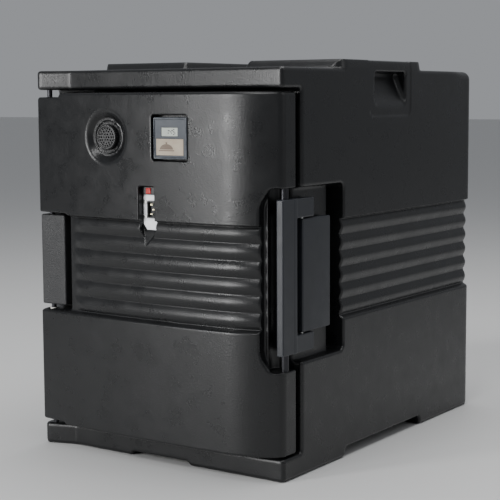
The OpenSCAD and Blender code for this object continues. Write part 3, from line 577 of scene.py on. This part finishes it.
def door_form(x, y, z):
    front = door_front(x, y)
    ends = slab(x, door_low[0], door_high[0])
    plan = meet(front, ends, np.where(x < 0, 4.0, 7.0))
    # The hinge end is a little shorter, so that the pin shows
    ear = ramp(x, -177, -183)
    body = meet(meet(plan, z - door_high[2] + 6.0 * ear, 4.5), door_low[2] + 4.0 * ear - z, 4.5)
    band = band_recess(z) * ramp(y, *BAND_FADE_Y)
    valley = BAND_DEPTH * band_inside(z) * ramp(y, *BAND_FADE_Y)
    ribs = ramp(x, -160, -138)
    body = body + (band * ribs + valley * (1 - ribs)) * ramp(x, 202, 196)
    body = meet(body, y - DOOR_BACK_Y, 4.0)
    # Vent dish with a conical wall
    front_y = bow_y(VENT_AT[0])
    across = np.hypot(x - VENT_AT[0], z - VENT_AT[1])
    floor = y - front_y - DISH_DEPTH
    # The factor keeps the cone's slope near 1, as a distance has
    cone = (across - DISH_R + floor * DISH_SLOPE) * 0.69
    dish = meet(cone, floor, 2.5)
    body = carve(body, dish, 3.0)
    collar = meet(np.abs(across - 26.5) - 1.6, y - front_y - 16, 1.0)
    body = join(body, meet(collar, front_y + 10.5 - y, 1.0), 1.0)
    # Thermometer pocket
    meter = meet(slab(x, METER_AT[0] - 34, METER_AT[0] + 33),
                 slab(z, METER_AT[1] - 33.5, METER_AT[1] + 34.5), 5.0)
    body = carve(body, meet(meter, y - bow_y(METER_AT[0]) - METER_DEPTH, 1.0), 1.6)
    # Inlet pocket and the ramp that runs down from it
    left, right = INLET_AT[0] - INLET_HALF_W, INLET_AT[0] + INLET_HALF_W
    inlet = meet(slab(x, left, right),
                 slab(z, INLET_AT[1] - INLET_HALF_H, INLET_AT[1] + INLET_HALF_H), 3.0)
    body = carve(body, meet(inlet, y - CREST_Y - INLET_DEPTH, 1.0), 1.6)
    ramp_sides = meet(line_side(x, z, (left, RAMP_Z[1]), (-2.5, RAMP_Z[0])),
                      line_side(x, z, (0.5, RAMP_Z[0]), (right, RAMP_Z[1])), 1.5)
    slope = line_side(y, z, (CREST_Y + 8, RAMP_Z[0]), (CREST_Y + INLET_DEPTH, RAMP_Z[1]))
    ramp_cut = meet(meet(ramp_sides, slope, 1.0), slab(z, RAMP_Z[0] - 2, RAMP_Z[1] + 2), 1.0)
    body = carve(body, ramp_cut, 1.6)
    # Hinge notch, with the rear skin running on behind the block
    block_gap = slab(z, BAND_Z[0], BAND_Z[1] + 3)
    notch = meet(meet(block_gap, x + 166, 4.0), y - DOOR_BACK_Y + 8, 3.0)
    body = carve(body, notch, 3.0)
    body = carve(body, meet(block_gap, x + 172, 2.0), 2.0)
    # Latch notch: chamfered shallow floor at the front and a round well about the rod
    inner, outer = LATCH_NOTCH_X
    foot, head = LATCH_Z
    notch = meet(slab(z, foot, head), inner - x, 2.0)
    notch = meet(notch, -line_side(x, z, (inner, head - LATCH_CHAMFER), (outer, head)), 4.0)
    notch = meet(notch, -line_side(x, z, (outer, foot), (inner, foot + LATCH_CHAMFER)), 4.0)
    body = carve(body, meet(notch, y - LATCH_FLOOR_Y, 2.0), 3.0)
    well = np.hypot(x - ROD[0], y - ROD[1]) - 23.5
    well = np.minimum(well, np.minimum(np.maximum(ROD[0] - 18.5 - x, ROD[1] - y), ROD[0] - x))
    body = carve(body, meet(well, slab(z, foot, head), 3.0), 2.0)
    # Bore round the hinge pin
    bore = np.hypot(x - HINGE[0], y - HINGE[1]) - 6.0
    return carve(body, bore, 1.0)


def door_lines():
    xs = grid_lines(door_low[0] - 4, door_high[0] + 4, 7.0,
                    [(door_low[0], 8, 1.6), (-180, 4, 1.6), (-172, 3, 1.4), (-166, 6, 1.4),
                     (VENT_AT[0] - 38, 7, 1.8), (VENT_AT[0] + 38, 7, 1.8), (-13, 4, 1.0),
                     (2, 12, 1.6), (17, 4, 1.0), (80, 4, 1.2), (202, 12, 1.4),
                     (VENT_AT[0] - 27, 3, 1.2), (VENT_AT[0] + 27, 3, 1.2),
                     (220, 6, 2), (door_high[0], 8, 1.6)], DOOR_WIDEN)
    ys = grid_lines(CREST_Y - 4, DOOR_BACK_Y + 4, 3.0, [(DOOR_BACK_Y, 5, 1.5), (-300, 14, 2.0)],
                    DOOR_WIDEN)
    below = grid_lines(door_low[2] - 4, BAND_Z[0] - 9, 9.0,
                       [(door_low[2], 8, 1.6), (LATCH_Z[0], 5, 1.4),
                        (LATCH_Z[0] + LATCH_CHAMFER, 3, 2.0), (BAND_Z[0] - 7, 4, 1.6)])
    band = even_lines(BAND_Z[0] - BAND_MARGIN, BAND_Z[1] + BAND_MARGIN, 90)
    above = grid_lines(BAND_Z[1] + 9, door_high[2] + 4, 9.0,
                       [(BAND_Z[1] + 6, 4, 1.6), (400, 4, 2), (424, 7, 1.4),
                        (VENT_AT[1] - 38, 7, 1.8), (VENT_AT[1], 30, 2.5), (VENT_AT[1] + 38, 7, 1.8),
                        (464, 4, 1.2), (528, 4, 1.2), (door_high[2], 10, 1.6)])
    return xs, ys, merge_lines(below, band, above)


# ---------- latch, hinge block and vent cap ----------

def frame_form(x, y, z):
    (x0, y0, z0), (x1, y1, z1) = latch_low, latch_high
    bar_y = ROD[1] + 19
    bar = meet(slab(x, x0, x1), slab(y, y0, bar_y), 2.0)
    bar = meet(bar, line_side(x, y, (x0, y0 + 13), (x0 + 6, y0)), 1.2)
    bar = meet(bar, slab(z, z0, z1), 1.2)
    arms = meet(meet(slab(x, x0 + 3, x1), slab(y, bar_y - 8, y1), 1.5), slab(z, z0, z1), 1.5)
    gap = meet(slab(z, z0 + 26, z1 - 28), bar_y - y, 2.0)
    body = join(bar, carve(arms, gap, 1.2), 1.5)
    return carve(body, np.hypot(x - ROD[0], y - ROD[1]) - 6.05, 0.8)


def lever_form(x, y, z):
    crown = x - lever_high[0] + 0.0012 * (y - (lever_low[1] + lever_high[1]) / 2) ** 2 / 2
    plate = meet(slab(y, lever_low[1], lever_high[1]), slab(z, lever_low[2], lever_high[2]), 2.5)
    return meet(meet(plate, crown, 2.0), lever_low[0] - x, 2.0)


def block_form(x, y, z):
    (x0, y0, z0), (x1, y1, z1) = block_low, block_high
    front = meet(slab(x, x0, x1), slab(y, y0, -278), 2.5)
    neck = meet(slab(x, x0, -192), slab(y, -290, y1), 1.5)
    body = meet(join(front, neck, 2.0), slab(z, z0, z1), 2.5)
    return carve(body, np.hypot(x - HINGE[0], y - HINGE[1]) - 4.02, 0.8)


def cap_form(x, y, z):
    centre = (cap_low + cap_high) / 2
    across = np.hypot(x - centre[0], z - centre[2])
    around = np.arctan2(z - centre[2], x - centre[0])
    skirt = across - 19.2 - 0.3 * np.cos(around * 36)
    body = meet(meet(skirt, cap_low[1] - y, 2.0), y - cap_low[1] - 7.4, 0.8)
    body = carve(body, meet(across - 15.5, y - cap_low[1] - 1.6, 0.6), 0.6)
    for ring, holes in ((0.0, 1), (4.8, 6), (9.6, 12), (13.2, 18)):
        turn = 2 * math.pi / holes
        wedge = (around / turn - np.round(around / turn)) * turn
        hole = np.hypot(across * np.cos(wedge) - ring, across * np.sin(wedge)) - 1.1
        body = carve(body, meet(hole, y - cap_low[1] - 4.5, 0.2), 0.2)
    stem = meet(across - 6.0, cap_low[1] + 5 - y, 0.5)
    return join(body, meet(stem, y - cap_high[1], 0.5), 0.5)


def housing_form(x, y, z):
    """Open box that holds the thermometer, with a soft rim."""
    outer = box_form(x, y, z, housing_low, housing_high + np.array((0, 3, 0)), 1.6)
    outer = np.maximum(outer, y - housing_high[1])
    hollow = box_form(x, y, z, (face_low[0], housing_low[1] - 5, face_low[2]),
                      (face_high[0], housing_high[1] - 2.5, face_high[2]), 1.0)
    return carve(outer, hollow, 0.5)


def meter_face_form(x, y, z):
    face = box_form(x, y, z, face_low, face_high, 0.6)
    window = box_form(x, y, z, lcd_low - np.array((0.3, 5, 0.3)), lcd_high + 0.3, 0.4)
    face = carve(face, window, 0.3)
    seat = box_form(x, y, z, label_low - np.array((0.2, 5, 0.2)), label_high + 0.2, 0.2)
    return carve(face, seat, 0.2)


def inlet_face_form(x, y, z):
    """Bright plate round the appliance inlet, with one lower corner cut off."""
    face = box_form(x, y, z, plate_low, (plate_high[0], plate_high[1], PLATE_TOP_Z), 0.4)
    cut = line_side(x, z, (plate_low[0], RAMP_Z[1] + 9), (plate_low[0] + 7, RAMP_Z[1]))
    face = meet(face, cut, 0.3)
    return carve(face, box_form(x, y, z, socket_low, socket_high, 1.0), 0.2)


def lamp_holder_form(x, y, z):
    """Dark holder of the pilot lamp, above the plate."""
    low = (plate_low[0], plate_low[1] - 2.5, PLATE_TOP_Z + 0.2)
    return box_form(x, y, z, low, plate_high, 0.8)


def lamp_form(x, y, z):
    middle = (lamp_low + lamp_high) / 2
    reach = np.array((4.5, 1.0, 4.5))
    middle[1] = plate_low[1] - 3.0
    return box_form(x, y, z, middle - reach, middle + reach, 0.9)


def cell_lines(low, high, step):
    return tuple(np.arange(a - 2 * step, b + 3 * step, step) for a, b in zip(low, high))


# ---------- small parts ----------

def ease(name, width):
    """Even out a CAD node's flats and ease its sharp edges."""
    piece = frame["nodes"][name]
    flats = piece.modifiers.new("flats", "DECIMATE")
    flats.decimate_type = "DISSOLVE"
    flats.angle_limit = math.radians(1.0)
    bevel = piece.modifiers.new("ease", "BEVEL")
    bevel.width = width * MM
    bevel.segments = 2
    bevel.limit_method = "ANGLE"
    bevel.angle_limit = math.radians(40)
    bevel.harden_normals = True
    piece.data.polygons.foreach_set("use_smooth", np.ones(len(piece.data.polygons), bool))


def solid_outline(name, outlines, y_front, depth, material, body):
    """Raised marks on a face that looks along -Y: closed outlines in X and Z, in millimetres."""
    bm = bmesh.new()
    for outline in outlines:
        corners = [bm.verts.new((x * MM, y_front * MM, z * MM)) for x, z in outline]
        face = bm.faces.new(corners)
        made = bmesh.ops.extrude_face_region(bm, geom=[face])
        moved = [v for v in made["geom"] if isinstance(v, bmesh.types.BMVert)]
        bmesh.ops.translate(bm, verts=moved, vec=(0, depth * MM, 0))
    bmesh.ops.recalc_face_normals(bm, faces=bm.faces)
    mesh = bpy.data.meshes.new(name)
    bm.to_mesh(mesh)
    bm.free()
    mesh.materials.append(material)
    piece = bpy.data.objects.new(name, mesh)
    bpy.context.scene.collection.objects.link(piece)
    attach(piece, body)


DIGIT_PITCH = 1.45  # from one digit to the next, in digit widths
SEGMENTS = {"1": "bc", "4": "fgbc", "5": "afgcd"}


def digit_bars(text, x, z, width, height, stroke):
    """Outlines of seven-segment digits, with their lower left corner at x, z."""
    bars = []
    for n, digit in enumerate(text):
        left = x + n * width * DIGIT_PITCH
        right = left + width
        middle, top = z + height / 2, z + height
        ends = {"a": ((left, top), (right, top)), "g": ((left, middle), (right, middle)),
                "d": ((left, z), (right, z)), "f": ((left, middle), (left, top)),
                "b": ((right, middle), (right, top)), "c": ((right, z), (right, middle))}
        for name in SEGMENTS[digit]:
            (x0, z0), (x1, z1) = ends[name]
            half, short = stroke / 2, stroke * 0.6
            if z0 == z1:
                bars.append([(x0 + short, z0 - half), (x1 - short, z0 - half),
                             (x1 - short, z0 + half), (x0 + short, z0 + half)])
            else:
                bars.append([(x0 - half, z0 + short), (x0 + half, z0 + short),
                             (x0 + half, z1 - short), (x0 - half, z1 - short)])
    return bars


ARC_STEPS = 16


def arc(x, z, rx, rz, start, end):
    turns = [math.radians(start + (end - start) * i / ARC_STEPS) for i in range(ARC_STEPS + 1)]
    return [(x + rx * math.cos(t), z + rz * math.sin(t)) for t in turns]


# ---------- build ----------

latch_low, latch_high = node_mm("latch_frame")
lever_low, lever_high = node_mm("latch_lever")
block_low, block_high = node_mm("hinge_block")
cap_low, cap_high = node_mm("vent_cap")
housing_low, housing_high = node_mm("thermometer_housing")
face_low, face_high = node_mm("thermometer_face")
plate_low, plate_high = node_mm("inlet_plate")
socket_low, socket_high = node_mm("power_inlet")
lamp_low, lamp_high = node_mm("pilot_lamp")
lcd_low, lcd_high = node_mm("thermometer_lcd")
label_low, label_high = node_mm("thermometer_label")

make_camera()
make_stage()
shell_black = plastic("polyethylene", (0.0058, 0.0061, 0.0066), (0.018, 0.018, 0.019), 0.30,
                      grain=430.0, grain_depth=0.00028, grain_strength=0.75,
                      specular=0.42)
block_black = plastic("hinge_polymer", (0.013, 0.0135, 0.0145), (0.03, 0.03, 0.032), 0.46,
                      grain=640.0, grain_depth=0.0009, grain_strength=0.8)
nylon = plastic("latch_nylon", (0.0125, 0.0145, 0.019), (0.035, 0.038, 0.046), 0.42,
                grain=2600.0, grain_depth=0.00004, grain_strength=0.3)
black = plastic("black_polymer", (0.008, 0.008, 0.0085), (0.03, 0.03, 0.03), 0.33,
                grain=2200.0, grain_depth=0.00005, grain_strength=0.3)
meter_blue = plastic("meter_polymer", (0.032, 0.039, 0.050), (0.22, 0.235, 0.25), 0.5,
                     grain=2600.0, grain_depth=0.00003, grain_strength=0.3)
FINISHES = {
    "polyethylene": shell_black, "hinge_polymer": block_black, "latch_nylon": nylon,
    "black_polymer": black, "meter_polymer": meter_blue,
    "liner_polyethylene": plastic("liner_polyethylene", (0.016, 0.0163, 0.017),
                                  (0.04, 0.04, 0.041), 0.38, grain=900.0, grain_depth=0.0003,
                                  grain_strength=0.4),
    "foam": plastic("foam", (0.62, 0.56, 0.38), (0.7, 0.64, 0.46), 0.85, grain=500.0,
                    grain_depth=0.0006),
    "seal_rubber": plastic("seal_rubber", (0.013, 0.013, 0.013), (0.03, 0.03, 0.03), 0.6,
                           grain=3000.0, grain_depth=0.00005),
    "bush_polymer": plastic("bush_polymer", (0.55, 0.54, 0.5), (0.65, 0.64, 0.6), 0.45),
    "display": plastic("display", (0.34, 0.37, 0.33), (0.4, 0.43, 0.39), 0.22, grain=4000.0,
                       grain_depth=0.00001, grain_strength=0.2),
    "label_film": plastic("label_film", (0.27, 0.215, 0.15), (0.36, 0.3, 0.22), 0.38,
                          grain=3000.0, grain_depth=0.00002, grain_strength=0.2),
    "lamp_lens": plastic("lamp_lens", (0.42, 0.012, 0.01), (0.5, 0.05, 0.04), 0.18, grain=3000.0,
                         grain_depth=0.00002, grain_strength=0.2),
    "wire_sleeve": plastic("wire_sleeve", (0.3, 0.02, 0.018), (0.4, 0.06, 0.05), 0.4),
    "stainless": metal("stainless", (0.6, 0.6, 0.59), 0.3),
    "dark_steel": metal("dark_steel", (0.05, 0.05, 0.055), 0.36),
    "aluminium_sheet": metal("aluminium_sheet", (0.72, 0.72, 0.73), 0.34, (30.0, 1.0, 1.0)),
    "battery_steel": metal("battery_steel", (0.72, 0.72, 0.71), 0.22),
    "inlet_plate_steel": metal("inlet_plate_steel", (0.92, 0.93, 0.95), 0.45, (30.0, 1.0, 1.0),
                               0.1),
    "contact_brass": metal("contact_brass", (0.86, 0.78, 0.52), 0.25),
    "element_sheath": metal("element_sheath", (0.22, 0.2, 0.19), 0.4),
    "cover_sheet": metal("cover_sheet", (0.5, 0.5, 0.51), 0.33, (30.0, 1.0, 1.0)),
}
for part in frame["record"]["subparts"]:
    data = frame["nodes"][part["node"]].data
    data.materials.clear()
    data.materials.append(FINISHES[part["material_slot"]])

moulded("cabinet_skin", cabinet_form, cabinet_lines(), shell_black, "cabinet", "polyethylene",
        "cabinet_shell")
moulded("door_skin", door_form, door_lines(), shell_black, "door", "polyethylene", "door_shell")
moulded("latch_grip_frame", frame_form, cell_lines(latch_low, latch_high, 1.6), nylon,
        "latch_frame", "latch_nylon", "latch_frame")
moulded("latch_grip_plate", lever_form, cell_lines(lever_low, lever_high, 1.6), nylon,
        "latch_lever", "latch_nylon", "latch_lever")
moulded("hinge_knuckle", block_form, cell_lines(block_low, block_high, 1.6), block_black,
        "cabinet", "hinge_polymer", "hinge_block")
moulded("vent_knob", cap_form, cell_lines(cap_low, cap_high, 0.5), black, "vent_cap",
        "black_polymer", "vent_cap")
moulded("meter_case", housing_form, cell_lines(housing_low, housing_high, 1.0), meter_blue,
        "door", "meter_polymer", "thermometer_housing")
moulded("meter_front", meter_face_form, cell_lines(face_low, face_high, 0.6), meter_blue,
        "door", "meter_polymer", "thermometer_face")
moulded("inlet_face", inlet_face_form, cell_lines(plate_low, plate_high, 0.7),
        FINISHES["inlet_plate_steel"], "door", "inlet_plate_steel", "inlet_plate")
moulded("lamp_holder", lamp_holder_form,
        cell_lines((plate_low[0], plate_low[1] - 3, PLATE_TOP_Z), plate_high, 0.7), black,
        "door", "black_polymer")
moulded("lamp_window", lamp_form, cell_lines((lamp_low[0], plate_low[1] - 4, lamp_low[2]),
                                             (lamp_high[0], plate_low[1] - 2, lamp_high[2]), 0.4),
        FINISHES["lamp_lens"], "door", "lamp_lens", "pilot_lamp")

for name in ("power_inlet", "latch_strike", "heater_cover", "heater_plate", "thermostat",
             "terminal_box", "foam_plugs"):
    ease(name, 0.5)

ink = plastic("label_ink", (0.09, 0.055, 0.03), (0.12, 0.08, 0.05), 0.4, grain=3000.0,
              grain_depth=0.00002)
display_ink = plastic("display_ink", (0.03, 0.034, 0.035), (0.05, 0.05, 0.05), 0.3, grain=3000.0,
                      grain_depth=0.00001)
solid_outline("display_digits", digit_bars("145", lcd_low[0] + 8, lcd_low[2] + 2.8, 4.2, 7.2, 1.5),
              lcd_low[1] - 0.15, 0.3, display_ink, "door")
icon_x, icon_z = (label_low[0] + label_high[0]) / 2 - 6, label_low[2] + 8.5
solid_outline("label_icon", [arc(icon_x, icon_z, 12, 8, 0, 180),
                             [(icon_x - 14, icon_z - 2.4), (icon_x + 14, icon_z - 2.4),
                              (icon_x + 14, icon_z - 0.9), (icon_x - 14, icon_z - 0.9)],
                             arc(icon_x, icon_z + 9.4, 1.7, 1.4, 0, 337)],
              label_low[1] - 0.15, 0.3, ink, "door")
